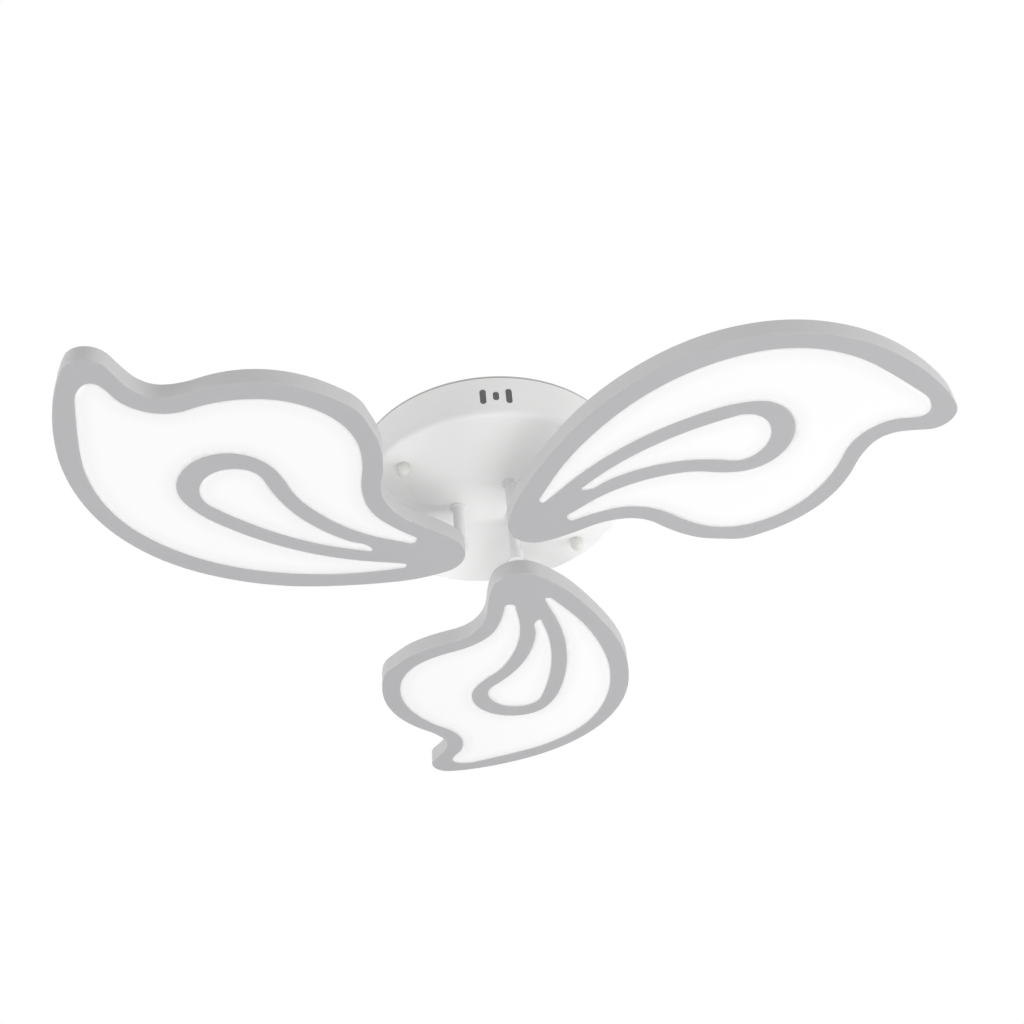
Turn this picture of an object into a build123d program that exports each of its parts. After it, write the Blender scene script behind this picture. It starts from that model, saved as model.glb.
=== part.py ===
from build123d import *
import math
import os

# LED ceiling chandelier: three leaf-shaped light heads on short stems under a round canopy.
# Sizes are in millimetres. The origin is the middle of the ceiling side, +Z is up and the lamp
# hangs below z = 0. +X runs along the mounting crossbar.

# Canopy, a spun steel cup against the ceiling
canopy_radius = 100.0
canopy_taper = 0.8
canopy_depth = 35.0
canopy_wall = 1.0
canopy_edge_round = 4.0
gasket_thick = 2.0
gasket_width = 6.0
gasket_inset = 0.3

# Vent slots and the tool hole between them, cut in the canopy's side
vent_angle = -125.7
vent_drop = 18.5
vent_pitch = 9.1
vent_width = 4.5
vent_length = 14.0
vent_cut_depth = 16.0
tool_hole_width = 4.4
tool_hole_length = 8.6

# Crossbar that is screwed to the ceiling, and the two long screws that hold the canopy on it
crossbar_width = 28.0
crossbar_thick = 1.6
crossbar_end_margin = 8.0
crossbar_step = 3.0
crossbar_step_run = 5.0
crossbar_end_flat = 17.0
hanger_inset = 19.0
hanger_screw_radius = 2.0
hanger_head_radius = 4.0
hanger_head_height = 2.4
hanger_nut_across = 7.0
hanger_nut_height = 3.2
ceiling_slot_spacing = 70.0
ceiling_slot_length = 24.0
ceiling_slot_width = 5.2
cap_nut_radius = 5.0
cap_nut_collar_height = 2.2
cap_nut_hex_across = 8.0
cap_nut_hex_height = 2.4
cap_nut_thread_depth = 4.0

# Rubber grommet where the mains cable comes in through the crossbar
grommet_hole_radius = 7.0
grommet_bore_radius = 4.5
grommet_lip = 2.0
grommet_lip_height = 1.8

# Three stems between the canopy and the light heads
stem_circle_radius = 26.4
stem_radius = 4.0
stem_bore_radius = 2.5
stem_top_rise = 12.0
stem_collar_radius = 5.6
stem_collar_height = 2.0
stem_collar_chamfer = 0.5
stem_nut_across = 13.0
stem_nut_height = 5.0
stem_washer_radius = 8.0
stem_washer_thick = 1.4
stem_plate_margin = 4.0
stem_plate_thick = 2.0

# Foot that joins each stem to the back of its light head: a flared neck and a flat pad
foot_neck_wall = 1.4
foot_neck_height = 8.0
foot_neck_chamfer = 0.5
foot_flare_round = 4.2
foot_flare_edge = 0.8
foot_pad_start = 2.0
foot_pad_end = 27.0
foot_pad_radius = 7.0
foot_pad_height = 5.0
foot_pad_chamfer = 1.2
foot_inset = 0.4
foot_screw_radius = 1.25
foot_screw_head_radius = 2.3
foot_screw_head_height = 1.5
foot_screw_depth = 3.8
foot_screw_side = 4.2
foot_near_screw = 8.5
foot_far_screw = 22.0
foot_wire_channel = 2.8

# Light heads. The first one's direction, the drop of the lit face at the stem, and its tilt
head_first_angle = 57.0
head_count = 3
stem_lag_angle = 37.3
head_drop = 84.6
head_rise_angle = 1.66
head_lean_angle = 0.66
head_depth = 12.0
head_face_thick = 2.0
head_wall = 2.5
head_ledge = 1.2
head_back_thick = 1.2
head_front_round = 0.8
window_edge_round = 0.4

# Outlines of a light head, seen in its own plane. The stem's axis is the middle, and x runs
# outwards from the lamp. Each row is a point and the outline's heading there in degrees. Two
# tangent arcs join each point to the next one, clockwise.
leaf_outline = [
    (7.5, 13.5, 35), (22, 18, 6), (72.3, 23.1, 22), (108.7, 70, 52), (133, 90.2, 35), (165, 96.2, -2),
    (222.7, 72.3, -44), (250, 42, -36), (273, 40, 23), (303.1, 47.8, -26), (308.4, 13, -105),
    (250.1, -80.2, -142), (170, -107.6, 180), (128.5, -102.1, 166), (27.4, -45.2, 140),
]
glow_outline = [
    (14, -3.5, 67), (46.5, 6, 1), (92.5, 20.7, 44), (119.7, 61.7, 51), (197.5, 72.7, -29),
    (269, 24.5, 10), (286.3, 31.4, 16), (294.8, 11.5, -114), (244.7, -67.7, -140),
    (160.5, -92, 176), (72.5, -61.3, 148), (28, -25.3, 137),
]
loop_outline = [
    (27, -2, 9), (55, -5.3, -16), (128, -1.4, 21), (158.5, 17.6, 28), (209.5, -25, -106),
    (169.5, -50.5, -173), (48, -30.2, 154), (19, -9.5, 101),
]
drop_outline = [
    (62, -21, 31), (83, -21.7, -2), (145, -6.2, 31), (177, 8, -17), (194.3, -22.8, -106),
    (153, -39.4, -177), (69.7, -27, 159),
]

# Where the two arms of the crescent window start, their rounded ends, and the line between them
upper_arm_start = 40.0
upper_arm_round = 3.6
lower_arm_start = 31.0
lower_arm_round = 1.8
arm_divide = -14.0

# Lit stack in a light head: opal lenses, light guide, reflector, LED strip
lens_clearance = 0.15
lens_recess = 0.3
lens_flange_width = 2.5
lens_flange_thick = 1.6
reflector_thick = 1.0
guide_overlap = 1.7
stack_start = 28.0
strip_gap = 1.0
strip_thick = 0.8
strip_inset = 0.3
chip_length = 3.5
chip_height = 2.8
chip_depth = 0.7
chip_count = 40
chip_first_station = 0.1
chip_last_station = 0.9
chip_test_step = 0.006
chip_largest_sag = 0.6

# Screws that hold the back plate, beside these points of the leaf outline
back_screw_points = (1, 2, 3, 6, 8, 10, 11, 13, 14)
back_screw_inset = 4.5
back_screw_radius = 1.0
back_screw_head_radius = 2.0
back_screw_head_height = 1.0
back_screw_length = 7.0
post_radius = 2.4

# LED driver, terminal block and earth tag inside the canopy
driver_length = 104.0
driver_width = 30.0
driver_height = 21.0
driver_corner_round = 2.0
driver_ear_length = 8.0
driver_ear_width = 12.0
driver_ear_thick = 2.0
weld_stud_radius = 1.5
weld_stud_height = 7.0
stud_nut_across = 5.5
stud_nut_height = 2.4
terminal_length = 30.0
terminal_width = 16.0
terminal_height = 12.0
terminal_floor = 3.0
terminal_side = -18.0
terminal_inset = 38.0
terminal_way_radius = 1.6
terminal_way_depth = 4.0
terminal_pitch = 10.0
earth_side = 26.0
earth_tag_radius = 3.6
earth_tag_thick = 0.8
earth_tag_tail = 9.0
earth_tag_tail_width = 3.0

# Internal leads: their sizes, levels above the canopy's face, and the lanes they run in
core_radius = 0.9
core_spacing = 2.6
lead_radius = 1.0
lead_level = 13.2
lead_bend = 3.0
lead_foot_bend = 1.6
input_lead_bend = 5.0
input_lead_level = 6.0
input_lead_climb = 3.0
input_lane_gap = 11.0
output_lead_level = 10.0
output_lead_heights = (20.0, 24.0, 19.0)
output_lane_gap = 9.0
output_lane_pitch = 6.0
output_lead_fan = 2.0
lead_run_out = 10.0
lead_corner = 26.0
stem_approach = 12.0
earth_lead_run = 7.0
earth_lead_lap = 4.0
lead_foot_run = 6.0

# Clearances
turn_clearance = 0.05
slide_clearance = 0.2
hole_clearance = 0.3

# Rise below which an arc is drawn as a straight line
straight_limit = 0.005

# Places and levels that follow from the sizes above
face_radius = canopy_radius - canopy_taper
hanger_radius = canopy_radius - hanger_inset
stem_plate_radius = stem_circle_radius + stem_washer_radius + stem_plate_margin
driver_room = math.sqrt((face_radius - canopy_wall) ** 2 - (driver_length / 2) ** 2)
driver_offset = (stem_plate_radius + driver_room) / 2
terminal_place = (terminal_side, terminal_inset - canopy_radius)
earth_place = (earth_side, terminal_inset - canopy_radius)
foot_neck_radius = stem_radius + foot_neck_wall
face_top = -canopy_depth + canopy_wall
stem_top = face_top + stem_top_rise
plate_top = face_top + stem_plate_thick
washer_top = plate_top + stem_washer_thick
head_back_low = head_depth - head_back_thick
lens_flange_top = head_face_thick + lens_flange_thick
guide_top = head_back_low - reflector_thick
strip_low = lens_flange_top + strip_inset
strip_high = head_back_low - strip_inset
chip_middle = (lens_flange_top + guide_top) / 2
crossbar_end_low = -crossbar_step - crossbar_thick
far_away = 400.0


def polar(radius, angle):
    """Point at a radius and an angle in degrees."""
    turn = math.radians(angle)
    return radius * math.cos(turn), radius * math.sin(turn)


def rod(radius, low, high, place=(0.0, 0.0)):
    """Upright cylinder between two levels."""
    height = high - low
    return Pos(place[0], place[1], (low + high) / 2) * Cylinder(radius, height)


def tube(outer, inner, low, high, place=(0.0, 0.0)):
    """Upright tube between two levels."""
    return rod(outer, low, high, place) - rod(inner, low - 1, high + 1, place)


def slab(face, low, high):
    """Flat plate with the outline of a face, between two levels."""
    return extrude(Pos(0, 0, low) * face, amount=high - low, dir=(0, 0, 1))


def hex_nut(across, height, bore, low, place):
    """Hexagon nut that sits on a level."""
    hexagon = Pos(place[0], place[1]) * RegularPolygon(across / 2, 6, major_radius=False)
    return slab(hexagon, low, low + height) - rod(bore, low - 1, low + height + 1, place)


def left_of(direction):
    """Direction turned a quarter turn to the left."""
    return Vector(-direction.Y, direction.X)


def tangent_arc(start, heading, end, grow):
    """Arc that leaves a point in a heading and ends in another, moved to its left by grow."""
    chord = end - start
    along = chord.normalized()
    side = left_of(along)
    leave_angle = math.atan2(heading.dot(side), heading.dot(along))
    rise = chord.length / 2 * math.tan(leave_angle / 2)
    arrive = along * (2 * heading.dot(along)) - heading
    first = start + left_of(heading) * grow
    middle = (start + end) / 2 + side * (rise + grow)
    last = end + left_of(arrive) * grow
    if abs(rise) < straight_limit:
        return Line(first, last)
    return ThreePointArc(first, middle, last)


def outline_arcs(outline, grow=0.0):
    """Tangent arcs through an outline's points, moved outwards by grow."""
    arcs = []
    for number, (x, y, angle) in enumerate(outline):
        next_x, next_y, next_angle = outline[(number + 1) % len(outline)]
        start = Vector(x, y)
        end = Vector(next_x, next_y)
        leave = Vector(*polar(1.0, angle))
        arrive = Vector(*polar(1.0, next_angle))
        chord = end - start
        onward = chord.dot(leave + arrive)
        bend = 2 * (1 - leave.dot(arrive)) * chord.dot(chord)
        reach = chord.dot(chord) / (onward + math.sqrt(onward ** 2 + bend))
        before = start + leave * reach
        after = end - arrive * reach
        joint = (before + after) / 2
        arcs.append(tangent_arc(start, leave, joint, grow))
        arcs.append(tangent_arc(joint, (after - before).normalized(), end, grow))
    return arcs


def outline_wire(outline, grow=0.0):
    """Closed wire of an outline, moved outwards by grow."""
    return Wire([arc.edge() for arc in outline_arcs(outline, grow)])


def outline_face(outline, grow=0.0):
    """Face inside an outline, moved outwards by grow."""
    return make_face(outline_wire(outline, grow))


def block(low, high):
    """Box between two corners."""
    size = [high[i] - low[i] for i in range(3)]
    middle = [(high[i] + low[i]) / 2 for i in range(3)]
    return Pos(*middle) * Box(*size)


def wire(points, radius, bend):
    """Round lead along straight runs joined by arcs."""
    path = FilletPolyline(*points, radius=bend)
    section = Plane(origin=path @ 0, z_dir=path % 0) * Circle(radius)
    return sweep(section, path=path)


def stem_place(index):
    """Middle of a stem, in the lamp's plan."""
    return polar(stem_circle_radius, head_angle(index) - stem_lag_angle)


def head_angle(index):
    """Direction in which a light head points."""
    return head_first_angle + index * 360 / head_count


def head_plane(index):
    """Plane of a light head's lit face, with the stem's axis as its middle."""
    rise = math.tan(math.radians(head_rise_angle))
    lean = math.tan(math.radians(head_lean_angle))
    out_x, out_y = polar(1.0, head_angle(index))
    along = Vector(out_x, out_y, 0)
    across = Vector(-out_y, out_x, 0)
    upwards = Vector(0, 0, 1) - along * rise - across * lean
    stem_x, stem_y = stem_place(index)
    return Plane(origin=(stem_x, stem_y, -head_drop), x_dir=along, z_dir=upwards)


# Canopy


def make_canopy_shell():
    """Spun cup with its stem holes, hanger holes, vents and welded studs."""
    profile = make_face(Polyline(
        (0, 0, -canopy_depth), (face_radius, 0, -canopy_depth),
        (canopy_radius, 0, -gasket_thick), (0, 0, -gasket_thick), close=True))
    cup = revolve(profile, axis=Axis.Z)
    outer_edge = cup.edges().filter_by(GeomType.CIRCLE).sort_by(Axis.Z)[0]
    cup = fillet(outer_edge, canopy_edge_round)
    mouth = cup.faces().sort_by(Axis.Z)[-1]
    shell = offset(cup, amount=-canopy_wall, openings=mouth)
    for index in range(head_count):
        shell -= rod(stem_radius + hole_clearance, -canopy_depth - 1, 0, stem_place(index))
    for side in (-1, 1):
        shell -= rod(hanger_screw_radius + hole_clearance, -canopy_depth - 1, 0, (side * hanger_radius, 0))
    shell -= vent_cutters()
    for place in stud_places():
        shell += rod(weld_stud_radius, face_top, face_top + weld_stud_height, place)
    return shell


def vent_cutters():
    """The two vent slots and the tool hole, as one cutter through the side."""
    slot = SlotOverall(vent_length, vent_width)
    hole = SlotOverall(tool_hole_length, tool_hole_width)
    openings = Pos(0, -vent_pitch) * slot + Pos(0, vent_pitch) * slot + hole
    upright = Plane(origin=(canopy_radius - vent_cut_depth / 2, 0, 0), x_dir=(0, 0, 1), z_dir=(1, 0, 0))
    side = Location((0, 0, -vent_drop), (0, 0, vent_angle)) * upright.location
    return extrude(side * openings, amount=vent_cut_depth)


def driver_stud_places():
    """Two studs under the driver's ears."""
    reach = driver_length / 2 + driver_ear_length / 2
    return [(-reach, driver_offset), (reach, driver_offset)]


def stud_places():
    """All studs welded to the inside of the canopy's face."""
    return driver_stud_places() + [terminal_place, earth_place]


def make_ceiling_gasket():
    """Foam ring between the canopy's rim and the ceiling."""
    outer = canopy_radius - gasket_inset
    return tube(outer, outer - gasket_width, -gasket_thick, 0)


def make_mounting_crossbar():
    """Steel strap, flat on the ceiling in the middle and stepped down at both ends."""
    end = hanger_radius + crossbar_end_margin
    step_end = end - crossbar_end_flat
    step_start = step_end - crossbar_step_run
    top = [(-end, -crossbar_step), (-step_end, -crossbar_step), (-step_start, 0),
           (step_start, 0), (step_end, -crossbar_step), (end, -crossbar_step)]
    bottom = [(x, z - crossbar_thick) for x, z in reversed(top)]
    outline = make_face(Polyline(*[(x, 0, z) for x, z in top + bottom], close=True))
    strap = extrude(outline, amount=crossbar_width / 2, both=True)
    corners = strap.edges().filter_by(Axis.Z).sort_by(Axis.X)
    strap = fillet(corners[:2] + corners[-2:], crossbar_width / 4)
    for side in (-1, 1):
        slot = Pos(side * ceiling_slot_spacing / 2, 0) * SlotOverall(ceiling_slot_length, ceiling_slot_width)
        strap -= slab(slot, -crossbar_thick - 1, 1)
        place = (side * hanger_radius, 0)
        strap -= rod(hanger_screw_radius + slide_clearance, crossbar_end_low - 1, 0, place)
    strap -= rod(grommet_hole_radius, -crossbar_thick - 1, 1)
    return strap


def make_mains_grommet():
    """Rubber ring with a lip under the crossbar."""
    seat = rod(grommet_hole_radius - turn_clearance, -crossbar_thick, 0)
    lip = rod(grommet_hole_radius + grommet_lip, -crossbar_thick - grommet_lip_height, -crossbar_thick)
    return seat + lip - rod(grommet_bore_radius, -far_away, 1)


def make_hanger_screws():
    """Two long screws, head on the crossbar's ends, that pass through the canopy's face."""
    group = []
    for side in (-1, 1):
        place = (side * hanger_radius, 0)
        tip = -canopy_depth - cap_nut_hex_height - cap_nut_thread_depth
        head = rod(hanger_head_radius, -crossbar_step, -crossbar_step + hanger_head_height, place)
        group.append(head + rod(hanger_screw_radius, tip, -crossbar_step, place))
    return group


def make_hanger_nuts():
    """Hexagon nuts that lock the long screws under the crossbar."""
    low = crossbar_end_low - hanger_nut_height
    bore = hanger_screw_radius + turn_clearance
    places = [(-hanger_radius, 0), (hanger_radius, 0)]
    return [hex_nut(hanger_nut_across, hanger_nut_height, bore, low, place) for place in places]


def make_cap_nuts():
    """Ball cap nuts that hold the canopy up from outside."""
    group = []
    for side in (-1, 1):
        place = (side * hanger_radius, 0)
        low = -canopy_depth - cap_nut_hex_height
        hexagon = Pos(*place) * RegularPolygon(cap_nut_hex_across / 2, 6, major_radius=False)
        base = slab(hexagon, low, -canopy_depth)
        collar = rod(cap_nut_radius, low - cap_nut_collar_height, low, place)
        ball = Pos(place[0], place[1], low - cap_nut_collar_height) * Sphere(cap_nut_radius)
        ball -= rod(cap_nut_radius + 1, low - cap_nut_collar_height, low + cap_nut_radius, place)
        thread = rod(hanger_screw_radius + turn_clearance, low - cap_nut_thread_depth - 0.5, 0, place)
        group.append(base + collar + ball - thread)
    return group


def make_stem_plate():
    """Stiffening disc inside the canopy's face."""
    plate = rod(stem_plate_radius, face_top, plate_top)
    for index in range(head_count):
        plate -= rod(stem_radius + turn_clearance, face_top - 1, plate_top + 1, stem_place(index))
    return plate


def make_stem_washers():
    """One washer for each stem, on the stiffening disc."""
    inner = stem_radius + slide_clearance
    return [tube(stem_washer_radius, inner, plate_top, washer_top, stem_place(i)) for i in range(head_count)]


# Electrical pieces in the canopy


def make_led_driver():
    """Closed driver case with an ear at each end."""
    half = driver_length / 2
    low = face_top
    high = face_top + driver_height
    case = block((-half, driver_offset - driver_width / 2, low),
                 (half, driver_offset + driver_width / 2, high))
    case = fillet(case.edges().filter_by(Axis.Z) + case.edges().group_by(Axis.Z)[-1], driver_corner_round)
    reach = half + driver_ear_length
    ears = block((-reach, driver_offset - driver_ear_width / 2, low),
                 (reach, driver_offset + driver_ear_width / 2, low + driver_ear_thick))
    case += ears
    for place in driver_stud_places():
        case -= rod(weld_stud_radius + slide_clearance, low - 1, high + 1, place)
    return case


def make_terminal_block():
    """Three-way terminal block with its stud hole and clamp screws' wells."""
    x, y = terminal_place
    low = face_top
    body = block((x - terminal_length / 2, y - terminal_width / 2, low),
                 (x + terminal_length / 2, y + terminal_width / 2, low + terminal_height))
    body = fillet(body.edges().filter_by(Axis.Z), 1.0)
    body -= rod(weld_stud_radius + slide_clearance, low - 1, low + terminal_height + 1, terminal_place)
    body -= rod(stud_nut_across * 0.62, low + terminal_floor, low + terminal_height + 1, terminal_place)
    top = low + terminal_height
    for side in (-1, 1):
        body -= rod(terminal_way_radius, top - terminal_way_depth, top + 1, (x + side * terminal_pitch, y))
    return body


def make_stud_nuts():
    """Nuts on the welded studs: driver ears, terminal block and earth tag."""
    seats = [(place, face_top + driver_ear_thick) for place in driver_stud_places()]
    seats.append((terminal_place, face_top + terminal_floor))
    seats.append((earth_place, face_top + earth_tag_thick))
    bore = weld_stud_radius + turn_clearance
    return [hex_nut(stud_nut_across, stud_nut_height, bore, low, place) for place, low in seats]


def make_earth_tag():
    """Ring tag on the earth stud, with a tail towards the terminal block."""
    x, y = earth_place
    ring = rod(earth_tag_radius, face_top, face_top + earth_tag_thick, earth_place)
    tail = block((x - earth_tag_tail, y - earth_tag_tail_width / 2, face_top),
                 (x, y + earth_tag_tail_width / 2, face_top + earth_tag_thick))
    return ring + tail - rod(weld_stud_radius + slide_clearance, face_top - 1, 0, earth_place)


def make_driver_input_leads():
    """Line and neutral cores from the terminal block round to the driver."""
    x = terminal_place[0] - terminal_length / 2
    y = terminal_place[1]
    lane = input_lane_gap - hanger_radius
    driver_end = -driver_length / 2
    side_y = driver_offset - driver_width / 4
    group = []
    for side in (-1, 1):
        low = face_top + input_lead_level + side * core_spacing / 2
        high = low + input_lead_climb
        route = [(x, y, low), (x - 2 * lead_run_out, y, low), (lane, y + lead_corner, low),
                 (lane, driver_offset - lead_corner, low), (driver_end - lead_run_out, side_y, high),
                 (driver_end, side_y, high)]
        group.append(wire(route, core_radius, input_lead_bend))
    return group


def make_earth_lead():
    """Earth core from the terminal block to the earth tag's tail."""
    x = terminal_place[0] + terminal_length / 2
    y = terminal_place[1]
    high = face_top + input_lead_level
    low = face_top + earth_tag_thick + core_radius
    tail_end = earth_place[0] - earth_tag_tail
    route = [(x, y, high), (x + earth_lead_run, y, high), (tail_end - earth_lead_lap, y, low),
             (tail_end + earth_lead_lap, y, low)]
    return wire(route, core_radius, lead_bend)


def make_driver_output_leads():
    """One lead from the driver to the top of each stem, each in its own lane and level."""
    driver_end = driver_length / 2
    start_z = face_top + output_lead_level
    end_z = stem_top + slide_clearance
    group = []
    for index in range(head_count):
        stem_x, stem_y = stem_place(index)
        start_y = driver_offset + (index - 1) * output_lane_pitch
        run_end = driver_end + lead_run_out + index * output_lead_fan
        lane = hanger_radius - output_lane_gap - (head_count - 1 - index) * output_lane_pitch
        level = face_top + output_lead_heights[index]
        route = [(driver_end, start_y, start_z), (run_end, start_y, start_z),
                 (lane, driver_offset - lead_corner, level)]
        if stem_y < 0:
            route.append((lane, stem_y + lead_corner / 2, level))
            route.append((lane - lead_corner, stem_y - lead_corner / 2, level))
        route.append((stem_x + stem_approach, stem_y, level))
        route.append((stem_x, stem_y, level))
        route.append((stem_x, stem_y, end_z))
        group.append(wire(route, lead_radius, lead_bend))
    return group


# Stems and their feet


def make_stem(index):
    """Hollow stem with a brazed collar under the canopy's face."""
    place = stem_place(index)
    low = foot_floor_level()
    body = rod(stem_radius, low, stem_top, place)
    collar_top = -canopy_depth - turn_clearance
    collar = rod(stem_collar_radius, collar_top - stem_collar_height, collar_top, place)
    collar = chamfer(collar.edges().group_by(Axis.Z)[0], stem_collar_chamfer)
    return body + collar - rod(stem_bore_radius, -far_away, 0, place)


def foot_floor_level():
    """Level on which the stem's lower end stands in its foot."""
    return -head_drop + head_depth + foot_wire_channel


def make_stem_nut(index):
    """Hexagon nut that clamps the stem to the canopy."""
    low = washer_top + turn_clearance
    return hex_nut(stem_nut_across, stem_nut_height, stem_radius + turn_clearance, low, stem_place(index))


def foot_screw_spots():
    """Three screws round the wire channel, in the light head's plane."""
    return [(foot_near_screw, foot_screw_side), (foot_near_screw, -foot_screw_side), (foot_far_screw, 0.0)]


def wire_hole_spot():
    """Where the lead passes through the back plate."""
    return (foot_near_screw + foot_far_screw) / 2, 0.0


def make_foot_neck():
    """Flared neck round the stem's socket, in the light head's plane."""
    neck = foot_neck_radius
    flare = neck + foot_flare_round
    low = head_depth
    edge = low + foot_flare_edge
    top = low + foot_neck_height
    middle = foot_flare_round * (1 - math.sqrt(0.5))
    bend_end = (neck, 0, edge + foot_flare_round)
    bend = ThreePointArc((flare, 0, edge), (neck + middle, 0, edge + middle), bend_end)
    straight = Polyline(bend_end, (neck, 0, top), (0, 0, top), (0, 0, low), (flare, 0, low), (flare, 0, edge))
    profile = make_face(bend + straight)
    body = revolve(profile, axis=Axis.Z)
    return chamfer(body.edges().group_by(Axis.Z)[-1], foot_neck_chamfer)


def make_stem_foot(index):
    """Cast foot: flared socket for the stem, screw pad, wire channel underneath."""
    pad_length = foot_pad_end - foot_pad_start
    outline = Pos(foot_pad_start + pad_length / 2, 0) * SlotOverall(pad_length, 2 * foot_pad_radius)
    pad = slab(outline, head_depth, head_depth + foot_pad_height)
    pad = chamfer(pad.edges().group_by(Axis.Z)[-1], foot_pad_chamfer)
    top = head_depth + foot_neck_height
    room = slab(outline_face(leaf_outline, -foot_inset), head_depth, top)
    room += rod(foot_neck_radius, head_depth, top)
    body = (make_foot_neck() + pad) & room
    hole_x = wire_hole_spot()[0]
    channel = Pos(hole_x / 2, 0) * SlotCenterToCenter(hole_x, foot_wire_channel)
    body -= slab(channel, head_depth - 1, head_depth + foot_wire_channel)
    for spot in foot_screw_spots():
        body -= rod(foot_screw_radius, head_depth - 1, head_depth + foot_screw_depth + 0.5, spot)
    body = head_plane(index).location * body
    floor = foot_floor_level()
    socket = rod(stem_radius + turn_clearance, floor, 0, stem_place(index))
    well = rod(foot_wire_channel / 2, floor - foot_wire_channel / 2, floor + 1, stem_place(index))
    return body - socket - well


def make_foot_screws():
    """Screws from inside the light head, through the back plate, into the foot."""
    head_top = head_back_low
    group = []
    tip = head_depth + foot_screw_depth
    for spot in foot_screw_spots():
        head = rod(foot_screw_head_radius, head_top - foot_screw_head_height, head_top, spot)
        group.append(head + rod(foot_screw_radius - turn_clearance, head_top, tip, spot))
    return group


# Light head pieces, drawn in the light head's own plane


def crescent_slab(grow, low, high):
    """Plate of the crescent window, between the leaf's rim band and the inner loop."""
    body = slab(outline_face(glow_outline, grow) - outline_face(loop_outline, -grow), low, high)
    upper_start = upper_arm_start - grow
    lower_start = lower_arm_start - grow
    body -= block((-far_away, arm_divide, low - 1), (upper_start, far_away, high + 1))
    body -= block((-far_away, -far_away, low - 1), (lower_start, arm_divide, high + 1))
    body = body.solids().sort_by(SortBy.VOLUME)[-1]
    upright = body.edges().filter_by(Axis.Z)
    upper_edges = [edge for edge in upright if is_at(edge, upper_start) and edge.center().Y > arm_divide]
    body = fillet(upper_edges, upper_arm_round + grow)
    upright = body.edges().filter_by(Axis.Z)
    lower_edges = [edge for edge in upright if is_at(edge, lower_start) and edge.center().Y < arm_divide]
    return fillet(lower_edges, lower_arm_round + grow / 2)


def is_at(edge, x):
    """Whether an edge's middle lies at an x."""
    return abs(edge.center().X - x) < 0.01


def back_screw_spots():
    """Screw places, a fixed distance in from the leaf's edge."""
    spots = []
    for number in back_screw_points:
        x, y, angle = leaf_outline[number]
        inwards_x, inwards_y = polar(back_screw_inset, angle - 90)
        spots.append((x + inwards_x, y + inwards_y))
    return spots


def make_petal_frame():
    """Cast leaf: face with two windows, rim wall, ledge for the back plate, screw posts."""
    body = slab(outline_face(leaf_outline), 0, head_depth)
    body = fillet(body.edges().group_by(Axis.Z)[0], head_front_round)
    body -= slab(outline_face(leaf_outline, -head_wall), head_face_thick, head_back_low)
    body -= slab(outline_face(leaf_outline, -head_ledge), head_back_low, head_depth + 1)
    body -= crescent_slab(0, -1, head_face_thick + 1)
    body -= slab(outline_face(drop_outline), -1, head_face_thick + 1)
    front = body.faces().sort_by(Axis.Z)[0]
    window_edges = [edge for rim in front.inner_wires() for edge in rim.edges()]
    body = fillet(window_edges, window_edge_round)
    for spot in back_screw_spots():
        body += rod(post_radius, head_face_thick, head_back_low, spot)
        body -= rod(back_screw_radius, head_face_thick + 1, head_depth, spot)
    return body


def make_petal_back():
    """Sheet steel back plate in the frame's ledge."""
    body = slab(outline_face(leaf_outline, -head_ledge - lens_clearance), head_back_low, head_depth)
    for spot in back_screw_spots():
        body -= rod(back_screw_radius + slide_clearance, 0, head_depth + 1, spot)
    for spot in foot_screw_spots():
        body -= rod(foot_screw_radius + slide_clearance, 0, head_depth + 1, spot)
    body -= rod(foot_wire_channel / 2 + hole_clearance, 0, head_depth + 1, wire_hole_spot())
    return body


def make_back_screws():
    """Screws that hold the back plate on the frame's posts."""
    group = []
    for spot in back_screw_spots():
        head = rod(back_screw_head_radius, head_depth, head_depth + back_screw_head_height, spot)
        shank_low = head_depth - back_screw_length
        group.append(head + rod(back_screw_radius - turn_clearance, shank_low, head_depth, spot))
    return group


def make_crescent_lens():
    """Opal lens of the crescent window with a flange behind the face."""
    body = crescent_slab(-lens_clearance, lens_recess, head_face_thick)
    return body + crescent_slab(lens_flange_width, head_face_thick, lens_flange_top)


def make_drop_lens():
    """Opal lens of the drop-shaped window with a flange behind the face."""
    body = slab(outline_face(drop_outline, -lens_clearance), lens_recess, head_face_thick)
    return body + slab(outline_face(drop_outline, lens_flange_width), head_face_thick, lens_flange_top)


def stack_face(grow):
    """Outline of the lit stack, cut straight before the root."""
    face = outline_face(glow_outline, grow)
    return face - Pos(stack_start - far_away / 2, 0) * Rectangle(far_away, far_away)


def make_light_guide():
    """Clear acrylic plate behind both lenses."""
    return slab(stack_face(guide_overlap), lens_flange_top, guide_top)


def make_reflector_sheet():
    """White sheet between the light guide and the back plate."""
    return slab(stack_face(guide_overlap), guide_top, head_back_low)


def make_led_strip():
    """Flexible strip on edge round the light guide."""
    inner = guide_overlap + strip_gap
    ring = outline_face(glow_outline, inner + strip_thick) - outline_face(glow_outline, inner)
    ring -= Pos(stack_start - far_away / 2, 0) * Rectangle(far_away, far_away)
    return slab(ring, strip_low, strip_high)


def make_led_chips():
    """LED packages on the strip's inner side, facing the light guide's edge."""
    curve = outline_wire(glow_outline, guide_overlap + strip_gap)
    group = []
    for number in range(chip_count):
        share = number / (chip_count - 1)
        station = chip_first_station + share * (chip_last_station - chip_first_station)
        tangent = curve % station
        ahead = curve @ (station + chip_test_step)
        behind = curve @ (station - chip_test_step)
        sag = ((ahead + behind) / 2 - curve @ station).length
        if sag > chip_largest_sag:
            continue
        inwards = left_of(tangent) * -1
        middle = curve @ station + inwards * (chip_depth / 2 + lens_clearance)
        seat = Plane(origin=(middle.X, middle.Y, chip_middle), x_dir=tangent, z_dir=(0, 0, 1))
        group.append(seat.location * Box(chip_length, chip_depth, chip_height))
    return group


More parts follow.
